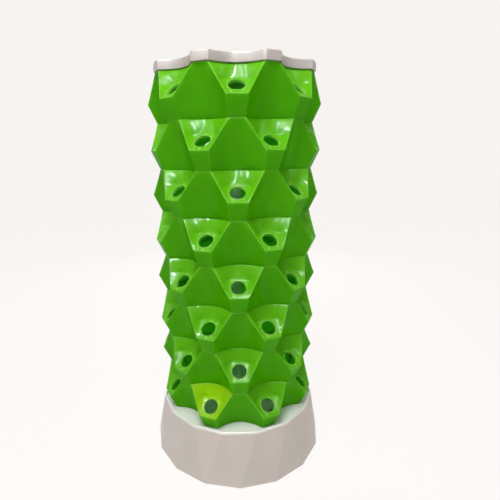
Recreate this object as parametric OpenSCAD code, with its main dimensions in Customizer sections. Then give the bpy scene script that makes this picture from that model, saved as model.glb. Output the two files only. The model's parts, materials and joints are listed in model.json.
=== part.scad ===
// Stacking tower for growing plants in net cups: a faceted water tank, a drip tray,
// eight planting tiers that alternate by half a pocket, a water pan and a top cover.
// A small pump in the tank lifts the water through a riser pipe to the pan.
// The origin is the centre of the tank's underside; the front of the tower faces -Y.

/* [Tiers] */
// Height from one tier's seat to the next
tier_height = 100; // [92:1:120]
// Pockets round one tier
pocket_count = 8; // [8:1:9]
// Distance from the axis to the lip of a pocket
lip_radius = 196; // [192:1:202]
// Height of the lip above the tier's seat
lip_height = 40; // [36:1:46]
// Width of the lip, corner to corner
lip_width = 42; // [40:1:50]
// Distance from the axis to the flat lobes of a seam between two tiers
lobe_radius = 178; // [174:1:182]
// Width of a flat lobe
lobe_width = 32; // [28:1:38]
// Distance from the axis to the middle of the scoops of a seam
neck_radius = 147; // [142:1:152]
// Slope of the shelf round a cup hole, measured from level
shelf_angle = 40; // [36:1:44]
// Wall of a tier
tier_wall = 3; // [2.5:0.25:3.5]

/* [Cup holes] */
// Bore that takes a net cup
cup_bore = 33; // [28:0.5:34]
// Distance along the shelf from the lip to the edge of the bore
cup_margin = 10; // [8:0.5:12]
// Wall of the collar round a bore
cup_wall = 2.4; // [1.6:0.2:3]
// Depth of the collar behind the shelf, along a bore
cup_depth = 5; // [4.5:0.5:8]

/* [Tank] */
// Height of the tank from the floor to its rim
tank_height = 132; // [124:1:160]
// Distance from the axis to a corner of the foot
foot_radius = 224; // [216:1:234]
// Distance from the axis to a corner of the rim
rim_radius = 200; // [198:1:206]
// Flat sides round the tank
tank_sides = 16; // [16:1:20]
// Wall of the tank
tank_wall = 4; // [3:0.5:5]
// Bore of the drain
drain_bore = 18; // [14:1:20]
// Bore of the grommet for the pump's cable
cable_bore = 7; // [5:0.5:8]

/* [Tray] */
// Depth of the tray's deck below the rim
deck_drop = 8; // [6:1:12]
// Thickness of the deck
deck_wall = 4; // [3.5:0.5:6]
// Depth of the well below the deck
well_depth = 20; // [18:1:26]
// Bore of the drain holes in the well's floor
drip_bore = 10; // [6:1:12]

/* [Pan and cover] */
// Depth of the water pan
pan_depth = 14; // [12:1:20]
// Bore of the pan's drip holes
pan_hole = 4; // [3:0.5:6]
// Height of the cover
cover_height = 19; // [17:0.5:26]
// Wall of the cover
cover_wall = 2.5; // [2:0.25:4]

/* [Pump and riser] */
// Outside diameter of the riser pipe
riser_od = 25; // [23:0.5:28]
// Wall of the riser pipe
riser_wall = 2.2; // [1.8:0.1:3]
// Width of the pump's housing
pump_width = 52; // [48:1:58]
// Height of the pump's housing
pump_height = 48; // [46:1:54]
// Length of the pump's housing
pump_length = 56; // [52:1:64]

/* [Fits] */
// Gap between parts that lift off each other
lift_gap = 0.6; // [0.4:0.1:1]
// Gap round a turning part's shaft or post
turn_gap = 0.05; // [0.03:0.01:0.08]
// Gap between pushed-on pipes and sockets
slip_gap = 0.02; // [0.01:0.01:0.05]

/* [Hidden] */
$fn = 64;
round_fn = 128;
eps = 0.01;

green = [0.33, 0.66, 0.03];
shell_white = [0.86, 0.83, 0.82];
pipe_white = [0.9, 0.9, 0.88];
coupler_grey = [0.7, 0.72, 0.74];
rubber_black = [0.12, 0.12, 0.12];
pump_black = [0.14, 0.15, 0.16];
impeller_blue = [0.2, 0.3, 0.55];
dial_grey = [0.75, 0.76, 0.78];
ceramic_white = [0.9, 0.9, 0.92];

tier_total = 8;
pitch = 360 / pocket_count;
half_side = 180 / tank_sides;

// Heights of the stack; the lowest tier stands in a shallow recess in the deck, and a hair's
// breadth of room under each foot keeps resting faces from pressing into each other
seat_depth = 2;
seam_gap = 0.02;
deck_z = tank_height - deck_drop;
stack_z = deck_z - seat_depth;
stack_top = stack_z + tier_total * tier_height;

// The hole's centre lies on the shelf; the knee is where the shelf turns up into the back wall
bore_r = cup_bore / 2;
collar_r = bore_r + cup_wall;
collar_rise = 1;
spot_r = collar_r - 0.4;
knee_gap = 4;
hole_run = cup_margin + bore_r;
hole_r = lip_radius - hole_run * cos(shelf_angle);
hole_z = lip_height + hole_run * sin(shelf_angle);
knee_run = hole_run + bore_r + knee_gap;
knee_r = lip_radius - knee_run * cos(shelf_angle);
knee_z = lip_height + knee_run * sin(shelf_angle);

// Locating ring and keys under each tier
ledge_t = 3;
ring_drop = 8;
ring_t = 2.5;
ring_r = neck_radius - 1.35 * tier_wall - lift_gap;
key_t = 3;
key_w = lobe_width - 2 * (1.2 * tier_wall + lift_gap);
key_r = lobe_radius - 1.05 * tier_wall - ring_drop * (lobe_radius - neck_radius) / tier_height
    - lift_gap;

function lerp(a, b, t) = a + (b - a) * t;
function spin(p, a) = [p[0] * cos(a) - p[1] * sin(a), p[0] * sin(a) + p[1] * cos(a)];
// Turns a point given as [distance from the axis, distance sideways] to face -Y, then by a
function facing(p, a) = spin([p[1], -p[0]], a);
function lift(points, z) = [for (p = points) [p[0], p[1], z]];
function flat_list(lists) = [for (l = lists) for (p = l) p];

// Corners between a pocket and the flank beside it, as [out, sideways] from the pocket's middle:
// at the seam above, at the lip, and at the seam below. Each has an inset for the inner skin.
seam_corner = spin([lobe_radius, -lobe_width / 2], pitch / 2);
lip_corner = [lip_radius, lip_width / 2];
foot_corner = [lobe_radius, lobe_width / 2];
seam_inset = tier_wall * [-1.2, 0.27];
lip_inset = tier_wall * [-1.3, -0.78];
foot_inset = tier_wall * [-1.07, -0.72];
pocket_inset = 1.3 * tier_wall;
flank_inset = 1.05 * tier_wall;

function corner(z, in) = z >= lip_height
    ? lerp(lip_corner + in * lip_inset, seam_corner + in * seam_inset,
        (z - lip_height) / (tier_height - lip_height))
    : lerp(foot_corner + in * foot_inset, lip_corner + in * lip_inset, z / lip_height);
// Middle of a pocket, from the seam down its back wall and shelf, then under the lip
function pocket_mid(z, in) =
    z >= knee_z ? lerp(knee_r, neck_radius, (z - knee_z) / (tier_height - knee_z))
        - in * pocket_inset
    : z >= lip_height ? lip_radius - (z - lip_height) / tan(shelf_angle) - in * pocket_inset
    : corner(z, in)[0];
function flank_mid(z, in) = lerp(neck_radius, lobe_radius, z / tier_height) - in * flank_inset;
// A scoop is an arc at the seam and has a flat middle on the shelf
function scoop(f, flat) = abs(f) <= flat ? 0 : pow((abs(f) - flat) / (1 - flat), 2);
shelf_flat = 0.5;
function flatness(z) = z >= knee_z
    ? shelf_flat * (tier_height - z) / (tier_height - knee_z) : shelf_flat;

// Points along one pocket or flank, up to the corner where the next one starts
steps = [-1, -0.6, -0.2, 0.2, 0.6];
step_count = len(steps);
function pocket_side(z, in) = let (c = corner(z, in), m = pocket_mid(z, in), flat = flatness(z))
    [for (f = steps) [lerp(m, c[0], scoop(f, flat)), f * c[1]]];
function flank_side(z, in) = let (c = spin(corner(z, in), -pitch / 2), m = flank_mid(z, in))
    [for (f = steps) spin([lerp(m, c[0], scoop(f, 0)), -f * c[1]], pitch / 2)];
// One closed loop round the tier at height z, on the outer (in = 0) or inner (in = 1) skin
function tier_loop(z, in) = [for (i = [0 : pocket_count - 1])
    for (p = concat(pocket_side(z, in), flank_side(z, in))) facing(p, i * pitch)];
rim_z = tier_height - seam_gap;
outer_levels = [0, lip_height, (lip_height + knee_z) / 2, knee_z,
    (knee_z + tier_height) / 2, rim_z];
inner_levels = [rim_z, knee_z, lip_height - 0.25 * tier_wall, 0];

// Two triangles for each cell between loop j and the next, mirrored either side of a middle
function ring_faces(loops, n) = [for (j = [0 : loops - 1]) for (i = [0 : n - 1])
    let (a = j * n + i,
        b = ((j + 1) % loops) * n + i,
        c = ((j + 1) % loops) * n + (i + 1) % n,
        d = j * n + (i + 1) % n)
    for (f = i % step_count < step_count / 2 ? [[a, b, c], [a, c, d]] : [[a, b, d], [b, c, d]]) f];

// Outline of a seam, grown outwards by g, with its scoops at the pocket angles
corner_growth = 0.6;
function seam_points(g) =
    let (c = spin([lobe_radius + g, -lobe_width / 2 - corner_growth * g], pitch / 2))
    [for (i = [0 : pocket_count - 1]) for (f = concat(steps, [1]))
        facing([lerp(neck_radius + g, c[0], scoop(f, 0)), f * c[1]], i * pitch)];
module seam(g) {
    polygon(seam_points(g));
}
module tube(r, bore, h) {
    difference() {
        cylinder(r = r, h = h);
        translate([0, 0, -eps]) cylinder(r = bore, h = h + 2 * eps);
    }
}

// Tiers
module tier_skin() {
    n = pocket_count * 2 * step_count;
    loops = concat(
        [for (z = outer_levels) lift(tier_loop(z, 0), z)],
        [for (z = inner_levels) lift(tier_loop(z, 1), z)]);
    polyhedron(flat_list(loops), ring_faces(len(loops), n), convexity = 10);
}
module at_holes() {
    for (i = [0 : pocket_count - 1])
        rotate(i * pitch) translate([0, -hole_r, hole_z]) rotate([shelf_angle, 0, 0]) children();
}
module keys() {
    for (i = [0 : pocket_count - 1])
        rotate(i * pitch) translate([-key_w / 2, -key_r, -ring_drop])
            cube([key_w, key_t, ring_drop + ledge_t]);
}
// Ledge, locating ring and keys at the foot of a tier: they drop into whatever carries it
module tier_foot() {
    difference() {
        rotate(pitch / 2) linear_extrude(ledge_t) seam(-tier_wall / 2);
        translate([0, 0, -eps]) cylinder(r = ring_r - ring_t / 2, h = ledge_t + 2 * eps);
    }
    translate([0, 0, -ring_drop]) tube(ring_r, ring_r - ring_t, ring_drop + ledge_t, $fn = round_fn);
    keys();
}
module tier(number) {
    below = tier_total - number;
    color(green) translate([0, 0, stack_z + below * tier_height])
    rotate(number % 2 == 0 ? pitch / 2 : 0) {
        difference() {
            union() {
                difference() {
                    tier_skin();
                    at_holes() cylinder(r = spot_r, h = bore_r);
                }
                at_holes() translate([0, 0, -cup_depth])
                    cylinder(r = collar_r, h = cup_depth + collar_rise);
            }
            at_holes() translate([0, 0, -cup_depth - 1]) cylinder(r = bore_r, h = cup_depth + bore_r);
        }
        tier_foot();
    }
}

// Tank: the corners of the foot and of the rim are half a side apart, so the walls are
// a band of tall triangles
function corners(r, z, phase) = [for (i = [0 : tank_sides - 1])
    let (a = (i + phase) * 2 * half_side) [r * sin(a), -r * cos(a), z]];
module facet_drum(r_foot, r_rim, z_foot, z_rim) {
    n = tank_sides;
    polyhedron(concat(corners(r_foot, z_foot, 0), corners(r_rim, z_rim, 0.5)),
        concat([[for (i = [0 : n - 1]) i]], [[for (i = [n - 1 : -1 : 0]) n + i]],
            [for (i = [0 : n - 1]) [i, n + i, (i + 1) % n]],
            [for (i = [0 : n - 1]) [n + i, n + (i + 1) % n, (i + 1) % n]]));
}
// Corner radius at height z, in from the tank's outside by a wall
function side_radius(z, wall) = lerp(foot_radius, rim_radius, z / tank_height) - wall / cos(half_side);
// Distance from the axis to the wall's outside in line with a corner of the rim
function face_radius(z) = lerp(foot_radius * cos(half_side), rim_radius, z / tank_height);
floor_t = 4;
foot_rise = 3;
foot_width = 32;
floor_z = foot_rise + floor_t;
rim_flat = side_radius(tank_height, tank_wall) * cos(half_side);
ledge_width = 11;
ledge_h = 8;
rib_t = 3;
rib_count = 8;
rib_hub_r = 33;
drain_angle = 180 + half_side;
drain_z = 27;
drain_r = drain_bore / 2;
drain_pad_r = drain_r + 6;
// The wall leans in by this much for each millimetre of height; a pad stands clear of it
lean = (foot_radius * cos(half_side) - rim_radius) / tank_height;
pad_out = abs(lean) * drain_pad_r + 0.3;
pad_in = abs(lean) * drain_pad_r + 1.8;
pad_t = tank_wall + pad_out + pad_in;
cable_angle = 180 - half_side;
cable_z = 96;
grommet_wall = 2.5;
grommet_r = cable_bore / 2 + grommet_wall;
grommet_lip_t = 2;
grommet_lip_r = grommet_r + grommet_wall;

// Places a part on a wall pad's outer face, with its +Z pointing out of the tank
module on_pad(angle, z) {
    rotate(angle) translate([0, -face_radius(z) - pad_out, z]) rotate([90, 0, 0]) children();
}
module tank_shell() {
    color(shell_white) difference() {
        union() {
            difference() {
                facet_drum(foot_radius, rim_radius, 0, tank_height);
                facet_drum(side_radius(floor_z, tank_wall), side_radius(tank_height, tank_wall),
                    floor_z, tank_height + eps);
                translate([0, 0, -eps]) cylinder(r = foot_radius - foot_width, h = foot_rise + eps);
            }
            tank_ledge();
            foot_ribs();
            on_pad(drain_angle, drain_z) translate([0, 0, -pad_t]) cylinder(r = drain_pad_r, h = pad_t);
            on_pad(cable_angle, cable_z) translate([0, 0, -pad_t]) cylinder(r = grommet_lip_r, h = pad_t);
        }
        on_pad(drain_angle, drain_z) translate([0, 0, -pad_t - 1]) cylinder(r = drain_r, h = pad_t + 2);
        on_pad(cable_angle, cable_z) translate([0, 0, -pad_t - 1]) cylinder(r = grommet_r, h = pad_t + 2);
    }
}
// Ledge that carries the tray
module tank_ledge() {
    intersection() {
        facet_drum(foot_radius - tank_wall / 2, rim_radius - tank_wall / 2, 0, tank_height);
        translate([0, 0, deck_z - deck_wall - ledge_h])
            tube(foot_radius, rim_flat - ledge_width, ledge_h, $fn = round_fn);
    }
}
// Stiffening ribs under the floor, a little clear of the ground
module foot_ribs() {
    rise = 0.5;
    for (i = [0 : rib_count - 1])
        rotate(i * 360 / rib_count) translate([rib_hub_r - rib_t / 2, -rib_t / 2, rise])
            cube([foot_radius - foot_width - rib_hub_r + rib_t, rib_t, foot_rise]);
    translate([0, 0, rise]) tube(rib_hub_r, rib_hub_r - rib_t, foot_rise);
}

plug_gap = 0.08;
plug_head_t = 4;
seal_t = 2;
module drain_plug() {
    grip_t = 3;
    grip_w = 14;
    grip_h = 4;
    color(rubber_black) on_pad(drain_angle, drain_z) translate([0, 0, seal_t]) {
        translate([0, 0, -seal_t - pad_t]) cylinder(r = drain_r - plug_gap, h = seal_t + pad_t + eps);
        cylinder(r = drain_pad_r - 2.5, h = plug_head_t);
        translate([-grip_t / 2, -grip_w / 2, plug_head_t - eps]) cube([grip_t, grip_w, grip_h]);
    }
}
module drain_seal() {
    color(rubber_black) on_pad(drain_angle, drain_z) tube(drain_pad_r - 3, drain_r, seal_t);
}
module cable_grommet() {
    color(rubber_black) on_pad(cable_angle, cable_z)
        translate([0, 0, -pad_t - grommet_lip_t]) difference() {
            union() {
                cylinder(r = grommet_lip_r, h = grommet_lip_t);
                cylinder(r = grommet_r - slip_gap, h = pad_t + 2 * grommet_lip_t);
                translate([0, 0, pad_t + grommet_lip_t])
                    cylinder(r = grommet_lip_r, h = grommet_lip_t);
            }
            translate([0, 0, -1]) cylinder(r = cable_bore / 2, h = pad_t + 2 * grommet_lip_t + 2);
        }
}

// Tray: a deck inside the rim, a seat for the lowest tier and a well that drains to the tank
riser_r = riser_od / 2;
hub_wall = 3.5;
hub_r = riser_r + hub_wall;
well_wall = 2.6;
well_r = ring_r + lift_gap;
well_z = deck_z - well_depth;
well_floor_t = 3;
tray_hub_h = 14;
rib_cut = 6;
// The lowest tier widens as it leaves its recess
recess_gap = lift_gap + seat_depth * (lip_radius - lobe_radius) / lip_height;
// Rings of holes in the well's floor: radius and how many
drip_rings = [[40, 8], [80, 16], [120, 24]];
module drip_tray() {
    color(shell_white) {
        difference() {
            union() {
                translate([0, 0, deck_z - deck_wall]) linear_extrude(deck_wall)
                    polygon([for (p = corners(side_radius(tank_height, tank_wall) - lift_gap, 0, 0.5))
                        [p[0], p[1]]]);
                translate([0, 0, well_z])
                    cylinder(r = well_r + well_wall, h = well_depth - deck_wall + eps, $fn = round_fn);
                tray_ribs();
            }
            translate([0, 0, stack_z - seam_gap]) linear_extrude(deck_wall) seam(recess_gap);
            translate([0, 0, well_z + well_floor_t]) cylinder(r = well_r, h = deck_z, $fn = round_fn);
            translate([0, 0, well_z - 1]) cylinder(r = riser_r + lift_gap, h = well_depth);
            for (ring = drip_rings, i = [0 : ring[1] - 1])
                rotate(i * 360 / ring[1]) translate([0, -ring[0], well_z - 1])
                    cylinder(d = drip_bore, h = well_floor_t + 2, $fn = 24);
            for (i = [0 : pocket_count - 1])
                rotate((i + 0.5) * pitch)
                    translate([-key_w / 2 - lift_gap, -key_r - lift_gap, deck_z - 2 * deck_wall])
                        cube([key_w + 2 * lift_gap, key_t + 2 * lift_gap, 3 * deck_wall]);
        }
        translate([0, 0, well_z]) tube(hub_r + lift_gap, riser_r + lift_gap, tray_hub_h);
    }
}
// Ribs under the deck, between the well and the tank's ledge
module tray_ribs() {
    rib_h = well_depth - deck_wall - rib_cut;
    for (i = [0 : pocket_count - 1])
        rotate(i * pitch)
            translate([-well_wall / 2, -rim_flat + ledge_width + lift_gap, deck_z - deck_wall - rib_h])
                cube([well_wall, rim_flat - ledge_width - well_r - 2 * lift_gap, rib_h + eps]);
}

// Water pan: it spreads the pumped water and lets it drip down behind the pockets
flange_t = 2;
pan_floor_t = 2.5;
pan_hub_drop = 22;
pan_hub_rise = 8;
pan_hub_gap = 0.4;
pan_hole_inset = 9;
pan_bore_r = riser_r + pan_hub_gap;
spread_gap = 6;
module water_pan() {
    color(shell_white) translate([0, 0, stack_top]) {
        difference() {
            union() {
                linear_extrude(flange_t) seam(-1);
                translate([0, 0, -pan_depth]) cylinder(r = ring_r, h = pan_depth + eps, $fn = round_fn);
            }
            translate([0, 0, pan_floor_t - pan_depth])
                cylinder(r = ring_r - ring_t, h = pan_depth + flange_t, $fn = round_fn);
            translate([0, 0, -pan_depth - 1]) cylinder(r = pan_bore_r, h = pan_depth);
            pan_drip_holes(2 * pocket_count, ring_r - pan_hole_inset);
            pan_drip_holes(pocket_count, ring_r / 2);
        }
        translate([0, 0, -pan_depth - pan_hub_drop])
            tube(hub_r, pan_bore_r, pan_hub_drop + pan_floor_t + pan_hub_rise);
        rotate(pitch / 2) difference() {
            keys();
            translate([0, 0, flange_t]) cylinder(r = lip_radius, h = ledge_t);
        }
    }
}
module pan_drip_holes(count, radius) {
    for (i = [0 : count - 1])
        rotate((i + 0.5) * 360 / count) translate([0, -radius, -pan_depth - 1])
            cylinder(d = pan_hole, h = pan_floor_t + 2, $fn = 24);
}
// Mushroom that turns the rising water outwards, on three legs that stand on the hub
spreader_z = stack_top - pan_depth + pan_floor_t + pan_hub_rise;
module water_spreader() {
    leg_ring = (pan_bore_r + hub_r) / 2;
    leg_r = 1.4;
    brim_out = 10;
    brim_r = hub_r + brim_out;
    brim_t = 3;
    crown_r = hub_r - 8;
    crown_t = 5;
    color(shell_white) translate([0, 0, spreader_z]) {
        translate([0, 0, spread_gap]) cylinder(r1 = hub_r + 4, r2 = brim_r, h = brim_t);
        translate([0, 0, spread_gap + brim_t]) cylinder(r1 = brim_r, r2 = crown_r, h = crown_t);
        for (i = [0 : 2])
            rotate(i * 120) translate([0, -leg_ring, 0]) cylinder(r = leg_r, h = spread_gap + brim_t / 3);
    }
}

// Cover: a lid with the seam's outline, whose inner ring and ribs stand on the pan's flange
skirt_gap = 1;
cover_round = 2.5;
cover_z = stack_top + 0.3;
module top_cover() {
    rest = stack_top + flange_t - cover_z;
    inside_h = cover_height - cover_wall;
    ring_out = ring_r + 1;
    rib_end = lobe_radius - 2;
    color(shell_white) translate([0, 0, cover_z]) {
        difference() {
            cover_block();
            translate([0, 0, -eps]) linear_extrude(inside_h + eps) seam(skirt_gap);
        }
        translate([0, 0, rest])
            tube(ring_out, ring_out - ring_t, inside_h - rest + eps, $fn = round_fn);
        for (i = [0 : pocket_count - 1])
            rotate((i + 0.5) * pitch) translate([-rib_t / 2, -rib_end, rest])
                cube([rib_t, rib_end - ring_r, inside_h - rest + eps]);
    }
}
// The lid's outside: a straight skirt with a sloped edge round the top
module cover_block() {
    levels = [[0, 0], [cover_height - cover_round, 0], [cover_height - 0.3 * cover_round, 0.3],
        [cover_height, 1]];
    loops = [for (l = levels) lift(seam_points(skirt_gap + cover_wall - l[1] * cover_round), l[0])];
    n = len(loops[0]);
    last = (len(levels) - 1) * n;
    middle = last + n;
    polyhedron(concat(flat_list(loops), [[0, 0, 0], [0, 0, cover_height]]), concat(
        [for (j = [0 : len(levels) - 2]) for (i = [0 : n - 1])
            let (a = j * n, b = a + n, k = (i + 1) % n)
            for (f = [[a + i, b + i, b + k], [a + i, b + k, a + k]]) f],
        [for (i = [0 : n - 1]) [middle, i, (i + 1) % n]],
        [for (i = [0 : n - 1]) [middle + 1, last + (i + 1) % n, last + i]]), convexity = 10);
}

// Pump: it stands in the middle of the tank, its outlet on the tower's axis
feet_h = 8;
pump_z = floor_z + feet_h;
shaft_z = pump_z + pump_height / 2;
pump_front = 8;
chamber_r = 17.5;
chamber_back = 6;
rotor_r = 6.6;
rotor_gap = 0.6;
rotor_len = 34;
shaft_r = 1.2;
shaft_seat = 4;
outlet_r = 9;
outlet_bore_r = 6.5;
outlet_rise = 14;
outlet_top = pump_z + pump_height + outlet_rise;
plate_t = 3;
plate_y = -pump_front - plate_t;
inlet_r = 9;
post_r = 3;
post_end = 1;
dial_t = 2;
dial_gap = 0.3;
chamfer = 6;
blade_count = 6;
// Places a part at height shaft_z with its +Z pointing to the tank's back
module along_back(y) {
    translate([0, y, shaft_z]) rotate([-90, 0, 0]) children();
}
module pump_outline() {
    w = pump_width / 2;
    h = pump_height / 2;
    polygon([[-w + chamfer, -h], [w - chamfer, -h], [w, -h + chamfer], [w, h - chamfer],
        [w - chamfer, h], [-w + chamfer, h], [-w, h - chamfer], [-w, -h + chamfer]]);
}
module pump_body() {
    fin_out = 1.5;
    fin_t = 3;
    color(pump_black) difference() {
        union() {
            along_back(-pump_front) linear_extrude(pump_length) pump_outline();
            translate([0, 0, pump_z + pump_height - eps]) cylinder(r = outlet_r, h = outlet_rise + eps);
            for (y = [outlet_r + fin_t : 2.5 * fin_t : pump_length - pump_front - fin_t])
                translate([-pump_width / 2 - fin_out, y, pump_z + chamfer])
                    cube([pump_width + 2 * fin_out, fin_t, pump_height - 2 * chamfer]);
        }
        along_back(-pump_front - eps) cylinder(r = chamber_r, h = pump_front + chamber_back + eps);
        along_back(0) cylinder(r = rotor_r + rotor_gap, h = chamber_back + rotor_len);
        along_back(0) cylinder(r = shaft_r + slip_gap, h = chamber_back + rotor_len + shaft_seat);
        translate([0, 0, shaft_z]) cylinder(r = outlet_bore_r, h = outlet_top - shaft_z + 1);
    }
}
// Front plate with a three-armed inlet and the post that the dial turns on
module pump_cover() {
    arm_w = 2;
    color(pump_black) difference() {
        union() {
            along_back(plate_y) difference() {
                linear_extrude(plate_t) pump_outline();
                translate([0, 0, -eps]) cylinder(r = inlet_r, h = plate_t + 2 * eps);
            }
            along_back(plate_y) for (i = [0 : 2])
                rotate(i * 120) translate([-arm_w / 2, 0, 0]) cube([arm_w, inlet_r + 1, plate_t]);
            along_back(plate_y - dial_t - post_end) cylinder(r = post_r, h = plate_t + dial_t + post_end);
        }
        along_back(plate_y) cylinder(r = shaft_r + slip_gap, h = plate_t + 1);
    }
}
module pump_shaft() {
    color(ceramic_white) along_back(plate_y)
        cylinder(r = shaft_r, h = plate_t + pump_front + chamber_back + rotor_len + shaft_seat);
}
module pump_impeller() {
    front = 2 - pump_front;
    hub = 4;
    disc_t = 2;
    disc_r = chamber_r - 2;
    disc_y = chamber_back - disc_t - 0.5;
    blade_t = 1.6;
    blade_in = 3;
    blade_out = disc_r - 0.3;
    color(impeller_blue) difference() {
        union() {
            along_back(front) cylinder(r = hub, h = disc_y - front + disc_t);
            along_back(disc_y) cylinder(r = disc_r, h = disc_t);
            along_back(disc_y + disc_t - eps) cylinder(r = rotor_r, h = rotor_len);
            for (i = [0 : blade_count - 1])
                along_back(front) rotate(i * 360 / blade_count) translate([-blade_t / 2, blade_in, 0])
                    cube([blade_t, blade_out - blade_in, disc_y - front + eps]);
        }
        along_back(-pump_front)
            cylinder(r = shaft_r + turn_gap, h = pump_front + disc_y + disc_t + rotor_len + 1);
    }
}
// Disc with a quarter window that opens or closes the inlet, turned by its tab
module pump_flow_dial() {
    tab_w = 4;
    tab_len = 6;
    color(dial_grey) along_back(plate_y - dial_t - dial_gap) difference() {
        union() {
            cylinder(r = inlet_r + 2, h = dial_t);
            translate([-tab_w / 2, inlet_r, 0]) cube([tab_w, tab_len, dial_t]);
        }
        translate([0, 0, -eps]) cylinder(r = post_r + turn_gap, h = dial_t + 2 * eps);
        translate([0, 0, -eps]) intersection() {
            tube(inlet_r - 0.5, post_r + 1.5, dial_t + 2 * eps);
            translate([0, -inlet_r, -1]) cube([inlet_r, inlet_r, dial_t + 2]);
        }
    }
}
module pump_strainer() {
    length = 22;
    wall = 2;
    w = pump_width - 2 * wall;
    h = pump_height - 2 * wall;
    slots = 7;
    slot_w = 3;
    slot_end = 5;
    slot_step = (w - 2 * wall) / (slots + 1);
    color(pump_black) translate([0, plate_y - length, shaft_z]) difference() {
        translate([-w / 2, 0, -h / 2]) cube([w, length, h]);
        translate([-w / 2 + wall, wall, -h / 2 + wall]) cube([w - 2 * wall, length, h - 2 * wall]);
        for (i = [0 : slots - 1])
            translate([(i - (slots - 1) / 2) * slot_step - slot_w / 2, -1, -h / 2 + slot_end])
                cube([slot_w, wall + 2, h - 2 * slot_end]);
    }
}
module pump_feet() {
    side_inset = 10;
    back_inset = 12;
    cup_r = 8;
    stem_r = 3.5;
    stem_h = 3;
    color(rubber_black) for (x = [-1, 1], y = [0, pump_length - pump_front - back_inset])
        translate([x * (pump_width / 2 - side_inset), y, floor_z]) {
            cylinder(r1 = cup_r, r2 = stem_r, h = feet_h - stem_h);
            translate([0, 0, feet_h - stem_h - eps]) cylinder(r = stem_r, h = stem_h + eps);
        }
}

// Riser: adapter, three pipes and two couplers with a stop in the middle
riser_bore = riser_r - riser_wall;
adapter_grip = 11;
adapter_z = outlet_top - adapter_grip;
collar_t = 3;
pipe_z = outlet_top + collar_t;
stop_t = 2;
riser_top = spreader_z - 4;
pipe_len = (riser_top - pipe_z - 2 * stop_t) / 3;
coupler_len = 40;
coupler_wall = 3;
module riser_adapter() {
    spigot = 18;
    color(pipe_white) {
        translate([0, 0, adapter_z]) tube(riser_r, outlet_r + slip_gap, outlet_top - adapter_z);
        translate([0, 0, outlet_top]) tube(riser_r, outlet_bore_r, collar_t);
        translate([0, 0, pipe_z - eps]) tube(riser_bore - slip_gap, outlet_bore_r, spigot);
    }
}
module riser_pipe(index) {
    color(pipe_white) translate([0, 0, pipe_z + index * (pipe_len + stop_t)])
        tube(riser_r, riser_bore, pipe_len);
}
module pipe_coupler(index) {
    stop_z = pipe_z + index * (pipe_len + stop_t) + pipe_len;
    color(coupler_grey) {
        translate([0, 0, stop_z + (stop_t - coupler_len) / 2])
            tube(riser_r + coupler_wall, riser_r + slip_gap, coupler_len);
        translate([0, 0, stop_z]) tube(riser_r + coupler_wall / 2, riser_bore, stop_t);
    }
}

tank_shell();
drain_plug();
drain_seal();
cable_grommet();
drip_tray();
tier(1);  // tier_1
tier(2);  // tier_2
tier(3);  // tier_3
tier(4);  // tier_4
tier(5);  // tier_5
tier(6);  // tier_6
tier(7);  // tier_7
tier(8);  // tier_8
water_pan();
water_spreader();
top_cover();
pump_body();
pump_cover();
pump_shaft();
pump_impeller();
pump_flow_dial();
pump_strainer();
pump_feet();
riser_adapter();
riser_pipe(0);  // riser_pipe_lower
riser_pipe(1);  // riser_pipe_middle
riser_pipe(2);  // riser_pipe_upper
pipe_coupler(0);  // pipe_coupler_lower
pipe_coupler(1);  // pipe_coupler_upper
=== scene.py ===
import json
from math import atan2, cos, hypot, pi, radians, sin, tan

import bmesh
import bpy
from mathutils import Matrix, Vector


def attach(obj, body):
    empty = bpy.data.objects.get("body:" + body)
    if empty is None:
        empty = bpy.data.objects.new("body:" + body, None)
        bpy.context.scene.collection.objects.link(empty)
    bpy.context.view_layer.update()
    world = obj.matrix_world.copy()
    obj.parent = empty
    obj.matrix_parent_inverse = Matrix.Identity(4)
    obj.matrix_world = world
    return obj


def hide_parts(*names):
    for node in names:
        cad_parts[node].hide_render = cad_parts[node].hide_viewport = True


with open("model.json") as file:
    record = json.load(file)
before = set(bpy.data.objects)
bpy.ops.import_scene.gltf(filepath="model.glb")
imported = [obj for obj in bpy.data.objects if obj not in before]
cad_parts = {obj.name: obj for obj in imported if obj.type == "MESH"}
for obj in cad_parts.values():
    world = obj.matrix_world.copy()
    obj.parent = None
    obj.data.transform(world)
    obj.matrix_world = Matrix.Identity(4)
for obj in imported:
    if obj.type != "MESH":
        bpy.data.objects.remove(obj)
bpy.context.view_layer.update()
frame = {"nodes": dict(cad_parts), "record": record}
scene = bpy.context.scene
print("frame loaded:", len(frame["nodes"]), "nodes")

milli = 0.001
seedShift = (1, 1.7, 0.6)  # how the seed of a finish moves its pattern in x, y and z
softAngle = 32  # degrees between two faces, from which the edge between them is sharp
overcut = 1  # how far a cut or a joined rib runs past the face that it meets
facets = {"bore": 64, "recess": 96, "ring": 128}  # flats round each turned form


# Shader wiring: a Wire is a socket that can stand in a sum, and a Board is one node tree
class Wire:
    def __init__(self, board, socket):
        self.board = board
        self.socket = socket

    def sum(self, operation, a, b):
        return self.board.add("ShaderNodeMath", {"operation": operation}, {0: a, 1: b})

    def __add__(self, other):
        return self.sum("ADD", self, other)

    def __sub__(self, other):
        return self.sum("SUBTRACT", self, other)

    def __rsub__(self, other):
        return self.sum("SUBTRACT", other, self)

    def __mul__(self, other):
        return self.sum("MULTIPLY", self, other)

    __radd__ = __add__
    __rmul__ = __mul__


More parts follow.
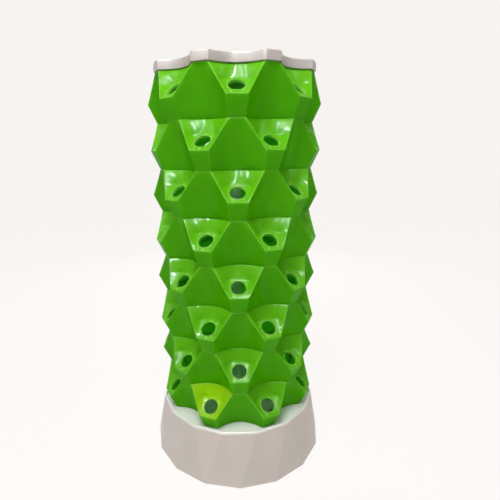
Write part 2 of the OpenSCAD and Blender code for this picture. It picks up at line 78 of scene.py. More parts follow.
class Board:
    def __init__(self, owner):
        owner.use_nodes = True
        self.owner = owner
        self.tree = owner.node_tree
        self.tree.nodes.clear()

    # one node: settings first, then what its sockets hold or are wired to
    def add(self, kind, settings=None, sockets=None, output=0):
        node = self.tree.nodes.new(kind)
        for key, value in (settings or {}).items():
            if key == "stops":
                ramp = node.color_ramp
                while len(ramp.elements) < len(value):
                    ramp.elements.new(0.5)
                for element, (position, level) in zip(ramp.elements, value):
                    element.position = position
                    element.color = (level, level, level, 1)
            else:
                setattr(node, key, value)
        for key, value in (sockets or {}).items():
            if isinstance(value, Wire):
                self.tree.links.new(value.socket, node.inputs[key])
            else:
                node.inputs[key].default_value = value
        return Wire(self, node.outputs[output])

    def here(self):
        return self.add("ShaderNodeTexCoord", output="Object")

    def upward(self, vector):
        return self.add("ShaderNodeSeparateXYZ", None, {0: vector}, output="Z")

    # object coordinates moved by a seed, so that each finish has its own pattern
    def place(self, seed):
        shift = [seed * share for share in seedShift]
        return self.add("ShaderNodeVectorMath", {"operation": "ADD"}, {0: self.here(), 1: shift})

    def stretched(self, where, scale):
        return self.add("ShaderNodeVectorMath", {"operation": "MULTIPLY"}, {0: where, 1: scale})

    def noise(self, where, scale, detail=3.0, rough=0.55):
        return self.add("ShaderNodeTexNoise", None,
                        {"Vector": where, "Scale": scale, "Detail": detail, "Roughness": rough})

    def ramp(self, value, *stops):
        return self.add("ShaderNodeValToRGB", {"stops": stops}, {"Fac": value})

    def blend(self, factor, a, b):
        sockets = {"Factor": factor, 6: a, 7: b}
        return self.add("ShaderNodeMix", {"data_type": "RGBA"}, sockets, output=2)

    def bump(self, height, strength, distance):
        sockets = {"Height": height, "Strength": strength, "Distance": distance}
        return self.add("ShaderNodeBump", None, sockets)

    # one for rays that show the backdrop: those from the camera, and those off or through a surface to it
    def seen(self):
        camera, glossy, through = [self.add("ShaderNodeLightPath", output=kind)
                                   for kind in ("Is Camera Ray", "Is Glossy Ray", "Is Transmission Ray")]
        settings = {"operation": "ADD", "use_clamp": True}
        return self.add("ShaderNodeMath", settings, {0: camera + glossy, 1: through})

    def close(self, shader, kind="ShaderNodeOutputMaterial"):
        end = self.tree.nodes.new(kind)
        self.tree.links.new(shader.socket, end.inputs["Surface"])
        return self.owner


def rgb(r, g, b):
    return (r, g, b, 1)


# painted highlight on the ridges: those round a pocket are painted paler than those under its lip; the
# pattern repeats from tier to tier
def ridgeHighlightShare(paint, look):
    first, height = look["repeat"]
    above = paint.upward(paint.here()) - first
    step = paint.add("ShaderNodeMath", {"operation": "FLOORED_MODULO"}, {0: above, 1: height})
    return paint.ramp(step * (1 / height), *look["ridges"])


# how far a face is turned up to the light, as a mask for painted light: one in a pocket, zero on the flanks
def upturned(paint, look):
    return paint.ramp(paint.upward(paint.add("ShaderNodeNewGeometry", output="Normal")), *look["paintedLitReach"])


# a painted patch of light on one pocket, up to its own ridges
def paintLightPatch(paint, look, colour, up):
    ends = {0: paint.here(), 1: look["lightPatchSpot"]}
    away = paint.add("ShaderNodeVectorMath", {"operation": "DISTANCE"}, ends, output="Value")
    return paint.blend(paint.ramp(away, *look["lightPatchReach"]) * up, colour, look["lightPatchColour"])


# a painted highlight: a paler band along a rim, by height
def paintRimHighlight(paint, look, colour):
    return paint.blend(paint.ramp(paint.upward(paint.here()), *look["rimHighlightReach"]), colour, look["rim"])


# Finishes. Moulded plastic has slow drifts of colour from the mould, streaks of flow along the draw,
# a faint orange peel that breaks up the gloss, and paler edges, a painted highlight that the scuff pattern
# breaks up
moulded = {
    "drift": ((0.35, 0), (0.68, 1)), "flow": ((0.4, 0), (0.7, 1)), "flowBump": 0.5,
    "scuffsAndHighlightBreakup": ((0.45, 0), (0.75, 1)), "scuffScale": 190, "scuffRough": 0.7, "highlightBreakupShare": 0.4,
    "bumpDepth": 0.0006,
}


def mouldedPlastic(name, look):
    paint = Board(bpy.data.materials.new(name))
    where = paint.place(look["seed"])
    drift = paint.ramp(paint.noise(where, look["driftScale"], detail=4), *moulded["drift"])
    drawn = paint.noise(paint.stretched(where, (1, 1, look["draw"])), look["flowScale"])
    flow = paint.ramp(drawn, *moulded["flow"])
    colour = paint.blend(drift, look["colour"], look["drifted"])
    colour = paint.blend(flow * look["flowShare"], colour, look["flowed"])
    if "paintedLitTone" in look:
        # painted light: faces turned up are painted paler, as if lit
        up = upturned(paint, look)
        # a painted patch of light on one pocket
        colour = paintLightPatch(paint, look, paint.blend(up, colour, look["paintedLitTone"]), up)
    # painted highlight along the top of the rim
    if "rim" in look:
        colour = paintRimHighlight(paint, look, colour)
    # painted highlight on sharp edges and ridges, broken up by the scuff pattern
    edgeHighlight = paint.ramp(paint.add("ShaderNodeNewGeometry", output="Pointiness"), *look["edgeHighlight"])
    if "repeat" in look:
        edgeHighlight = edgeHighlight * ridgeHighlightShare(paint, look)
    scuffed = paint.noise(where, moulded["scuffScale"], detail=5, rough=moulded["scuffRough"])
    scuffsAndHighlightBreakup = paint.ramp(scuffed, *moulded["scuffsAndHighlightBreakup"])
    highlightBreakup = scuffsAndHighlightBreakup * moulded["highlightBreakupShare"] + (1 - moulded["highlightBreakupShare"])
    colour = paint.blend(edgeHighlight * highlightBreakup * look["edgeHighlightShare"], colour, look["edge"])
    peel = paint.noise(where, look["peelScale"], detail=2)
    grain = paint.noise(where, look["grainScale"], detail=2)
    rough = look["rough"] + drift * look["roughDrift"] + scuffsAndHighlightBreakup * look["roughScuff"]
    height = peel + drawn * moulded["flowBump"] + grain * look["grainShare"]
    normal = paint.bump(height, look["bump"], moulded["bumpDepth"])
    shader = paint.add("ShaderNodeBsdfPrincipled", None, {
        "Base Color": colour, "Roughness": rough, "Normal": normal, "Specular IOR Level": look["specular"],
        "Coat Weight": look["coat"], "Coat Roughness": look["coatRough"]})
    if look["glow"]:
        through = paint.add("ShaderNodeBsdfTranslucent", None, {"Color": look["through"]})
        shader = paint.add("ShaderNodeMixShader", None, {"Fac": look["glow"], 1: shader, 2: through})
    return paint.close(shader)


tierLook = {
    "seed": 3.1, "colour": rgb(0.115, 0.58, 0.001), "drifted": rgb(0.14, 0.63, 0.0015), "driftScale": 6,
    "flowed": rgb(0.17, 0.66, 0.003), "flowScale": 42, "flowShare": 0.35, "draw": 0.12,
    # the edge colour is a painted highlight along the ridges
    "edge": rgb(0.50, 0.92, 0.18), "edgeHighlightShare": 1.0, "edgeHighlight": ((0.512, 0), (0.555, 1)),
    "repeat": (0.122, 0.1), "ridges": ((0.34, 0.15), (0.39, 1)),
    # painted light: a paler tone for faces turned up
    "paintedLitTone": rgb(0.175, 0.62, 0.008), "paintedLitReach": ((0.05, 0), (0.25, 1)),
    # a painted patch of light on one pocket
    "lightPatchSpot": (-0.075, -0.165, 0.185), "lightPatchReach": ((0.066, 1), (0.080, 0)),
    "lightPatchColour": rgb(0.47, 0.88, 0.005),
    "peelScale": 55, "grainScale": 900, "grainShare": 0.03, "bump": 0.05,
    "glow": 0.45, "through": rgb(0.14, 0.63, 0.0015),
    "rough": 0.30, "roughDrift": 0.05, "roughScuff": 0.05, "coat": 0.14, "coatRough": 0.075,
    "specular": 0.02,
}
shellLook = {
    "seed": 8.4, "colour": rgb(0.585, 0.49, 0.452), "drifted": rgb(0.61, 0.525, 0.498), "driftScale": 5,
    "flowed": rgb(0.535, 0.53, 0.455), "flowScale": 10, "flowShare": 0.6, "draw": 0.22,
    # the edge colour is a painted highlight along the sharp edges
    "edge": rgb(0.90, 0.89, 0.86), "edgeHighlightShare": 0.8, "edgeHighlight": ((0.535, 0), (0.58, 1)),
    "peelScale": 30, "grainScale": 800, "grainShare": 0.02, "bump": 0.08, "glow": 0,
    "rough": 0.36, "roughDrift": 0.08, "roughScuff": 0.04, "coat": 0.1, "coatRough": 0.15, "specular": 0.3,
}
# the rim colour is a painted highlight along the top of the tank
tankLook = dict(shellLook, rim=rgb(0.76, 0.745, 0.69), rimHighlightReach=((0.1272, 0), (0.1288, 1)))
trayLook = dict(shellLook, seed=5.2, colour=rgb(0.70, 0.69, 0.66), drifted=rgb(0.73, 0.72, 0.70),
                flowed=rgb(0.68, 0.68, 0.64), edge=rgb(0.86, 0.85, 0.83))
# a darker copy of the shell white for the cover: painted shade that holds back the strong light near the
# top, with a slightly greyer tone of its own
coverShadedLook = dict(shellLook, seed=6.6, colour=rgb(0.40, 0.335, 0.315), drifted=rgb(0.42, 0.37, 0.355),
                 flowed=rgb(0.385, 0.345, 0.315), edge=rgb(0.48, 0.45, 0.43))
pipeLook = dict(shellLook, seed=2.3, colour=rgb(0.76, 0.76, 0.73), drifted=rgb(0.80, 0.80, 0.78),
                flowed=rgb(0.72, 0.72, 0.68), rough=0.38, coat=0.0)
couplerLook = dict(pipeLook, seed=2.9, colour=rgb(0.42, 0.45, 0.48), drifted=rgb(0.47, 0.50, 0.53),
                   flowed=rgb(0.38, 0.41, 0.44), edge=rgb(0.60, 0.62, 0.64))
dialLook = dict(couplerLook, seed=4.4, colour=rgb(0.52, 0.53, 0.55), drifted=rgb(0.56, 0.57, 0.59))
rotorLook = dict(pipeLook, seed=1.8, colour=rgb(0.035, 0.085, 0.28), drifted=rgb(0.045, 0.10, 0.32),
                 flowed=rgb(0.03, 0.07, 0.24), edge=rgb(0.12, 0.2, 0.42), rough=0.34)
pumpLook = dict(pipeLook, seed=7.7, colour=rgb(0.018, 0.020, 0.023), drifted=rgb(0.026, 0.028, 0.031),
                flowed=rgb(0.014, 0.016, 0.018), edge=rgb(0.09, 0.095, 0.10), grainScale=1400,
                grainShare=0.9, bump=0.35, rough=0.52)
rubberLook = dict(pumpLook, seed=9.3, colour=rgb(0.014, 0.014, 0.014), drifted=rgb(0.020, 0.019, 0.018),
                  rough=0.72, grainScale=1000, bump=0.25)
shaftLook = dict(pipeLook, seed=3.9, colour=rgb(0.78, 0.78, 0.80), drifted=rgb(0.82, 0.82, 0.84),
                 flowed=rgb(0.74, 0.74, 0.77), rough=0.22, bump=0.05)

finishes = {
    "tier_green": mouldedPlastic("tierGreen", tierLook),
    "shell_white": mouldedPlastic("shellPale", tankLook),
    "pipe_white": mouldedPlastic("pipeWhite", pipeLook),
    "coupler_grey": mouldedPlastic("couplerGrey", couplerLook),
    "seal_rubber": mouldedPlastic("sealRubber", rubberLook),
    "pump_black": mouldedPlastic("pumpBlack", pumpLook),
    "rotor_blue": mouldedPlastic("rotorBlue", rotorLook),
    "dial_grey": mouldedPlastic("dialGrey", dialLook),
    "shaft_ceramic": mouldedPlastic("shaftCeramic", shaftLook),
}
trayWhite = mouldedPlastic("trayWhite", trayLook)
# the cover's shell white, painted darker as shade
coverShadedWhite = mouldedPlastic("coverShadedWhite", coverShadedLook)
print("finishes made:", len(bpy.data.materials))


# Meshes. Plans are in millimetres; a point is [out from the axis, sideways] or [x, y]
def lerp(a, b, t):
    return a + (b - a) * t


def mix2(a, b, t):
    return (lerp(a[0], b[0], t), lerp(a[1], b[1], t))


def add2(a, b, k=1.0):
    return (a[0] + b[0] * k, a[1] + b[1] * k)


def spin(p, degrees):
    a = radians(degrees)
    return (p[0] * cos(a) - p[1] * sin(a), p[0] * sin(a) + p[1] * cos(a))


def facing(p, degrees):
    return spin((p[1], -p[0]), degrees)


# places over the width of a side, from minus one on
def across(columns, last=0):
    return [-1 + 2 * k / columns for k in range(columns + last)]


def turnedBy(degrees):
    return Matrix.Rotation(radians(degrees), 4, "Z")


def loft(bm, loops, closedRing=False):
    rows = [[bm.verts.new(Vector(p) * milli) for p in loop] for loop in loops]
    count = len(rows[0])
    pairs = list(zip(rows, rows[1:])) + ([(rows[-1], rows[0])] if closedRing else [])
    for low, high in pairs:
        for i in range(count):
            k = (i + 1) % count
            bm.faces.new((low[i], low[k], high[k], high[i]))
    return rows


def cap(bm, row, height, up):
    middle = bm.verts.new(Vector((0, 0, height)) * milli)
    for i in range(len(row)):
        k = (i + 1) % len(row)
        bm.faces.new((row[i], row[k], middle) if up else (row[k], row[i], middle))
    return middle


def circle(radius, z, sides):
    return [(radius * sin(2 * pi * i / sides), -radius * cos(2 * pi * i / sides), z) for i in range(sides)]


# a ring turned about the z axis from (radius, height) corners
def turned(bm, profile, sides, place=None):
    rows = loft(bm, [circle(r, z, sides) for r, z in profile], closedRing=True)
    moved(bm, [v for row in rows for v in row], place)


# a solid turned about the z axis, from the middle of its foot to the middle of its top
def drum(bm, profile, sides, place=None):
    rows = loft(bm, [circle(r, z, sides) for r, z in profile])
    ends = [cap(bm, rows[0], profile[0][1], False), cap(bm, rows[-1], profile[-1][1], True)]
    moved(bm, [v for row in rows for v in row] + ends, place)


def moved(bm, points, place):
    if place is not None:
        bmesh.ops.transform(bm, matrix=place, verts=points)


def block(bm, low, high, place=None, rounding=0.0):
    size = [b - a for a, b in zip(low, high)]
    centre = [(a + b) / 2 for a, b in zip(low, high)]
    matrix = Matrix.Translation(Vector(centre) * milli) @ Matrix.Diagonal((*[s * milli for s in size], 1))
    made = bmesh.ops.create_cube(bm, size=1, matrix=matrix)
    if rounding:
        edges = {e for v in made["verts"] for e in v.link_edges}
        made = bmesh.ops.bevel(bm, geom=list(edges), offset=rounding * milli, segments=2, profile=0.5,
                               affect="EDGES")
    moved(bm, made["verts"], place)


def smoothed(mesh, angle=softAngle):
    mesh.shade_smooth()
    mesh.set_sharp_from_angle(angle=radians(angle))
    return mesh


def meshFrom(name, bm):
    bmesh.ops.recalc_face_normals(bm, faces=bm.faces)
    mesh = bpy.data.meshes.new(name)
    bm.to_mesh(mesh)
    bm.free()
    return smoothed(mesh)


def objectFrom(name, mesh):
    thing = bpy.data.objects.new(name, mesh)
    scene.collection.objects.link(thing)
    return thing


# joins or cuts one closed mesh with others and returns the finished mesh
def combined(name, mesh, steps, angle=softAngle):
    base = objectFrom(name + "Work", mesh)
    helpers = []
    for kind, other in steps:
        helper = objectFrom(name + kind.title(), other)
        helpers.append(helper)
        modifier = base.modifiers.new(kind, "BOOLEAN")
        modifier.operation = kind
        modifier.solver = "MANIFOLD"
        modifier.object = helper
    bpy.context.view_layer.update()
    evaluated = base.evaluated_get(bpy.context.evaluated_depsgraph_get())
    finished = bpy.data.meshes.new_from_object(evaluated)
    finished.name = name
    for thing in [base] + helpers:
        old = thing.data
        bpy.data.objects.remove(thing)
        bpy.data.meshes.remove(old)
    return smoothed(finished, angle)


def dress(thing, body, slot, material, *nodes):
    thing.data.materials.clear()
    thing.data.materials.append(material)
    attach(thing, body)
    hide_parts(*nodes)


# Planting tier
tier = {
    "height": 100, "pockets": 8, "lipRadius": 196, "lipHeight": 40, "lipWidth": 42, "lobeRadius": 178,
    "lobeWidth": 32, "neckRadius": 147, "shelfAngle": 40, "wall": 3, "bore": 33, "boreCut": (-22, 6),
    "margin": 10, "kneeGap": 4, "kneeSoft": 3, "flat": 0.5, "flatFade": 3, "ledge": 3, "ridge": 1.3,
    "collarWall": 2.4, "collarDepth": 5, "collarRise": 1, "spotCut": 0.4, "liftGap": 0.6, "seamGap": 0.02,
    "ringDrop": 8, "ringThick": 2.5, "ringSoft": 0.8, "keyThick": 3, "keyRise": 1.5, "keySoft": 0.6,
    "firstSeat": 122, "count": 8, "columns": 14,
    # roundings of the collar round a hole
    "collar": {"foot": 0.5, "brow": 0.7, "browBend": 0.2, "mouth": 0.9, "mouthBend": 0.3,
               "mouthDepth": 0.8},
    # heights of the rows of points; those at the knee count from the knee, and the one at the lip in walls
    "outerRows": {"skirt": [0, 10, 20, 30], "shelf": 4, "knee": (-0.4, 0.4, 1), "wall": [80, 87, 93.5]},
    "innerRows": {"wall": 90, "knee": (2, -6), "shelf": 55, "lip": -0.25, "skirt": 20},
    # how far the inner face stands back from the outer one, in walls
    "inset": {"seam": (-1.2, 0.27), "lip": (-1.3, -0.78), "foot": (-1.07, -0.72), "middle": 1.3,
              "neck": 1.05, "ring": 1.35, "key": 1.2},
}
inset = tier["inset"]
pitch = 360 / tier["pockets"]
boreRadius = tier["bore"] / 2
shelfTilt = radians(tier["shelfAngle"])
holeRun = tier["margin"] + boreRadius
holeRadius = tier["lipRadius"] - holeRun * cos(shelfTilt)
holeHeight = tier["lipHeight"] + holeRun * sin(shelfTilt)
kneeRun = holeRun + boreRadius + tier["kneeGap"]
kneeRadius = tier["lipRadius"] - kneeRun * cos(shelfTilt)
kneeHeight = tier["lipHeight"] + kneeRun * sin(shelfTilt)
seamCorner = spin((tier["lobeRadius"], -tier["lobeWidth"] / 2), pitch / 2)
lipCorner = (tier["lipRadius"], tier["lipWidth"] / 2)
footCorner = (tier["lobeRadius"], tier["lobeWidth"] / 2)
ringRadius = tier["neckRadius"] - inset["ring"] * tier["wall"] - tier["liftGap"]


def tierCorner(z, inner):
    w = tier["wall"] * inner
    seam = add2(seamCorner, inset["seam"], w)
    lip = add2(lipCorner, inset["lip"], w)
    foot = add2(footCorner, inset["foot"], w)
    if z >= tier["lipHeight"]:
        return mix2(lip, seam, (z - tier["lipHeight"]) / (tier["height"] - tier["lipHeight"]))
    return mix2(foot, lip, z / tier["lipHeight"])


# middle of a pocket: straight under the lip, sloping shelf, softened knee, back wall
def pocketMiddle(z, inner):
    back = inner * inset["middle"] * tier["wall"]
    if z < tier["lipHeight"]:
        return tierCorner(z, inner)[0]
    shelfSlope = -1 / tan(shelfTilt)
    wallSlope = (tier["neckRadius"] - kneeRadius) / (tier["height"] - kneeHeight)
    d, soft = z - kneeHeight, tier["kneeSoft"]
    if d <= -soft:
        return kneeRadius + shelfSlope * d - back
    if d >= soft:
        return kneeRadius + wallSlope * d - back
    bend = (wallSlope - shelfSlope) * (d * d + soft * soft) / (4 * soft)
    return kneeRadius + (shelfSlope + wallSlope) / 2 * d + bend - back


def scoop(f, flat):
    return 0 if abs(f) <= flat else ((abs(f) - flat) / (1 - flat)) ** 2


def tierLoop(z, inner):
    steps = across(tier["columns"])
    above = max(0, (z - kneeHeight) / (tier["height"] - kneeHeight))
    flat = tier["flat"] * (1 - above) ** tier["flatFade"]
    corner = tierCorner(z, inner)
    middle = pocketMiddle(z, inner)
    side = spin(corner, -pitch / 2)
    outerNeck = lerp(tier["neckRadius"], tier["lobeRadius"], z / tier["height"])
    neck = outerNeck - inner * inset["neck"] * tier["wall"]
    points = []
    for i in range(tier["pockets"]):
        pocket = [(lerp(middle, corner[0], scoop(f, flat)), f * corner[1]) for f in steps]
        flank = [spin((lerp(neck, side[0], scoop(f, 0)), -f * side[1]), pitch / 2) for f in steps]
        points += [(*facing(p, i * pitch), z) for p in pocket + flank]
    return points


def circleLike(loop, radius, z):
    angles = [atan2(x, -y) for x, y, _ in loop]
    return [(radius * sin(a), -radius * cos(a), z) for a in angles]


def holePlace(i):
    return (turnedBy(i * pitch)
            @ Matrix.Translation(Vector((0, -holeRadius, holeHeight)) * milli)
            @ Matrix.Rotation(shelfTilt, 4, "X"))


def makeTierMesh():
    lip, top, knee = tier["lipHeight"], tier["height"] - tier["seamGap"], tier["kneeSoft"]
    rowsOut, rowsIn = tier["outerRows"], tier["innerRows"]
    shelf = rowsOut["shelf"]
    shelfZ = [lip + (kneeHeight - knee - lip) * k / shelf for k in range(shelf + 1)]
    kneeZ = [kneeHeight + knee * k for k in rowsOut["knee"]]
    outerZ = rowsOut["skirt"] + shelfZ + kneeZ + rowsOut["wall"] + [top]
    outer = [tierLoop(z, 0) for z in outerZ]
    innerZ = [top, rowsIn["wall"], *[kneeHeight + k for k in rowsIn["knee"]], rowsIn["shelf"],
              lip + rowsIn["lip"] * tier["wall"], rowsIn["skirt"], tier["ledge"]]
    inner = [tierLoop(z, 1) for z in innerZ]
    drop, within, soft = -tier["ringDrop"], ringRadius - tier["ringThick"], tier["ringSoft"]
    ring = [(within, tier["ledge"]), (within, drop + soft), (within + soft, drop),
            (ringRadius - soft, drop), (ringRadius, drop + soft), (ringRadius, 0)]
    loops = outer + inner + [circleLike(inner[-1], r, z) for r, z in ring]
    bm = bmesh.new()
    rows = loft(bm, loops, closedRing=True)
    ridges = set()
    columns, count = tier["columns"], len(rows[0])
    lipRow = outerZ.index(lip)
    for i in range(0, count, columns):
        for low, high in zip(rows[:len(outerZ) - 1], rows[1:len(outerZ)]):
            ridges.add(bm.edges.get((low[i], high[i])))
    for row, everywhere in ((lipRow, False), (0, True), (len(outerZ) - 1, True), (len(outerZ), True)):
        for i in range(count):
            if everywhere or (i // columns) % 2 == 0:
                ridges.add(bm.edges.get((rows[row][i], rows[row][(i + 1) % count])))
    bmesh.ops.bevel(bm, geom=list(ridges), offset=tier["ridge"] * milli, segments=3, profile=0.5,
                    affect="EDGES", clamp_overlap=True, miter_outer="SHARP", loop_slide=True)
    shell = meshFrom("tierShell", bm)

    cut, spots, extras = bmesh.new(), bmesh.new(), bmesh.new()
    outside, cutRadius = boreRadius + tier["collarWall"], boreRadius + tier["collarWall"] / 2
    low, high = -tier["collarDepth"], tier["collarRise"]
    keyHalf = (tier["lobeWidth"] - 2 * (inset["key"] * tier["wall"] + tier["liftGap"])) / 2
    keyRadius = (tier["lobeRadius"] - inset["neck"] * tier["wall"] - tier["liftGap"]
                 - tier["ringDrop"] * (tier["lobeRadius"] - tier["neckRadius"]) / tier["height"])
    # collar round a hole, from its inner edge below to the chamfer of the bore
    edge = tier["collar"]
    bend = edge["browBend"]
    profile = [(boreRadius, low), (outside - edge["foot"], low), (outside, low + edge["foot"]),
               (outside, high - edge["brow"]), (outside - bend, high - bend), (outside - edge["brow"], high),
               (boreRadius + edge["mouth"], high), (boreRadius + edge["mouthBend"], high - bend),
               (boreRadius, high - edge["mouthDepth"])]
    for i in range(tier["pockets"]):
        place = holePlace(i)
        drum(spots, [(outside - tier["spotCut"], z) for z in (0, boreRadius)], facets["bore"], place)
        drum(cut, [(cutRadius, z) for z in tier["boreCut"]], facets["bore"], place)
        turned(extras, profile, facets["bore"], place)
        block(extras, (-keyHalf, -keyRadius, drop), (keyHalf, tier["keyThick"] - keyRadius, tier["keyRise"]),
              turnedBy(i * pitch), tier["keySoft"])
    return combined("tierMesh", shell, [
        ("DIFFERENCE", meshFrom("spots", spots)), ("DIFFERENCE", meshFrom("cut", cut)),
        ("UNION", meshFrom("extras", extras))])


tierMesh = makeTierMesh()
print("tier mesh:", len(tierMesh.vertices), "points")
for number in range(1, tier["count"] + 1):
    thing = objectFrom("tierShell_%d" % number, tierMesh.copy())
    seat = tier["firstSeat"] + (tier["count"] - number) * tier["height"]
    turn = pitch / 2 if number % 2 == 0 else 0
    thing.data.transform(Matrix.Translation((0, 0, seat * milli)) @ turnedBy(turn))
    dress(thing, "tier_%d" % number, "tier_green", finishes["tier_green"], "tier_%d" % number)
bpy.data.meshes.remove(tierMesh)
print("tiers placed")


# Cover: a wavy lid with rounded corners that hangs over the top seam
cover = {
    "base": 922.3, "height": 19, "gap": 1.0, "wall": 2.5, "round": 2.5, "cornerGrowth": 0.6, "soft": 6,
    "rest": 1.7, "rib": 3, "ribIn": 2, "foot": (0.5, 0.6), "rounding": (0, 22, 45, 68, 90), "flatIn": 6,
    "softLess": 2, "softMost": 0.48, "softSteps": 5, "ringOut": 1, "sink": 0.5,
}


def seamOutline(g, soft):
    c = spin((tier["lobeRadius"] + g, -tier["lobeWidth"] / 2 - cover["cornerGrowth"] * g), pitch / 2)
    points = []
    for i in range(tier["pockets"]):
        side = [(lerp(tier["neckRadius"] + g, c[0], scoop(f, 0)), f * c[1])
                for f in across(tier["columns"], 1)]
        points.append([facing(p, i * pitch) for p in side])
    outline = []
    for i, side in enumerate(points):
        before, after = points[i - 1][-1], points[(i + 1) % len(points)][0]
        outline += roundedCorner(before, side[0], side[1], soft) + side[2:-2]
        outline += roundedCorner(side[-2], side[-1], after, soft)
    return outline


def roundedCorner(before, corner, after, soft):
    def towards(p):
        share = soft / hypot(p[0] - corner[0], p[1] - corner[1])
        return mix2(corner, p, share if share <= 1 else cover["softMost"])
    start, end, steps = towards(before), towards(after), cover["softSteps"]
    turns = [k / steps for k in range(steps + 1)]
    return [mix2(mix2(start, corner, t), mix2(corner, end, t), t) for t in turns]


def makeCoverMesh():
    high, outset = cover["height"], cover["gap"] + cover["wall"]
    chamferIn, chamferHigh = cover["foot"]
    edge = [(0.0, outset - chamferIn), (chamferHigh, outset)]
    edge += [(high - cover["round"] * (1 - sin(a)), outset - cover["round"] * (1 - cos(a)))
             for a in map(radians, cover["rounding"])]
    edge += [(high, outset - cover["round"] - cover["flatIn"])]
    ceiling = high - cover["wall"]
    loops = [[(x, y, z) for x, y in seamOutline(g, cover["soft"])] for z, g in edge]
    cavity = [[(x, y, z) for x, y in seamOutline(cover["gap"], cover["soft"] - cover["softLess"])]
              for z in (ceiling, 0.0)]
    bm = bmesh.new()
    rows = loft(bm, loops[::-1] + cavity[::-1])
    cap(bm, rows[0], high, True)
    cap(bm, rows[-1], ceiling, False)
    extras = bmesh.new()
    outer, top = ringRadius + cover["ringOut"], ceiling + cover["sink"]
    inside = outer - tier["ringThick"]
    rest, half = cover["rest"], cover["rib"] / 2
    turned(extras, [(inside, rest), (outer, rest), (outer, top), (inside, top)], facets["ring"])
    for i in range(tier["pockets"]):
        block(extras, (-half, -tier["lobeRadius"] + cover["ribIn"], rest), (half, -ringRadius, top),
              turnedBy((i + 0.5) * pitch))
    return combined("coverMesh", meshFrom("lid", bm), [("UNION", meshFrom("lidRibs", extras))])


coverMesh = makeCoverMesh()
coverMesh.transform(Matrix.Translation((0, 0, cover["base"] * milli)))
dress(objectFrom("wavyCover", coverMesh), "cover", "shell_white", coverShadedWhite, "top_cover")
print("cover made:", len(coverMesh.vertices), "points")


# Tank: tall triangular facets between a foot and a rim that are half a side apart. The drain and the gland
# are given by their turn in degrees, height, radius of the bore and radius of the boss
tank = {
    "height": 132, "foot": 224, "rim": 200, "sides": 16, "wall": 4, "floor": 7, "rise": 3, "footWidth": 32,
    "ledgeTop": 120, "ledgeHigh": 8, "ledgeWide": 11, "ledgeOut": 197.4, "ledgeSoft": 0.5,
    "rib": 3, "ribs": 8, "ribHub": 33, "ribRise": 0.5, "ribSink": 0.5, "ribSoft": 0.4, "recessSoft": 0.6,
    "padOut": 2.538, "padThick": 10.576, "drain": (191.25, 27, 9, 15), "gland": (168.75, 96, 6, 8.5),
    "facetSoft": 2.0, "rimSoft": 1.1, "rimBend": (0.3, 0.4), "bossSoft": 0.8, "bossBend": 0.25,
    "softAngle": 24,
}
halfSide = 180 / tank["sides"]


def tankLoop(radius, z, phase):
    turns = [radians((i + phase) * 2 * halfSide) for i in range(tank["sides"])]
    return [(radius * sin(a), -radius * cos(a), z) for a in turns]


def sideRadius(z):
    return lerp(tank["foot"], tank["rim"], z / tank["height"]) - tank["wall"] / cos(radians(halfSide))


# closes two loops that are half a side apart with a band of triangles, more loops above, and caps
def facetDrum(bm, foot, uppers):
    low = [bm.verts.new(Vector(p) * milli) for p in foot]
    rows = [[bm.verts.new(Vector(p) * milli) for p in loop] for loop in uppers]
    count = len(low)
    for i in range(count):
        k = (i + 1) % count
        bm.faces.new((low[i], low[k], rows[0][i]))
        bm.faces.new((low[k], rows[0][k], rows[0][i]))
    for under, over in zip(rows, rows[1:]):
        for i in range(count):
            k = (i + 1) % count
            bm.faces.new((under[i], under[k], over[k], over[i]))
    bm.faces.new(low[::-1])
    bm.faces.new(rows[-1])


def padPlace(angle, z):
    face = lerp(tank["foot"] * cos(radians(halfSide)), tank["rim"], z / tank["height"])
    return (turnedBy(angle)
            @ Matrix.Translation(Vector((0, -face - tank["padOut"], z)) * milli)
            @ Matrix.Rotation(pi / 2, 4, "X"))


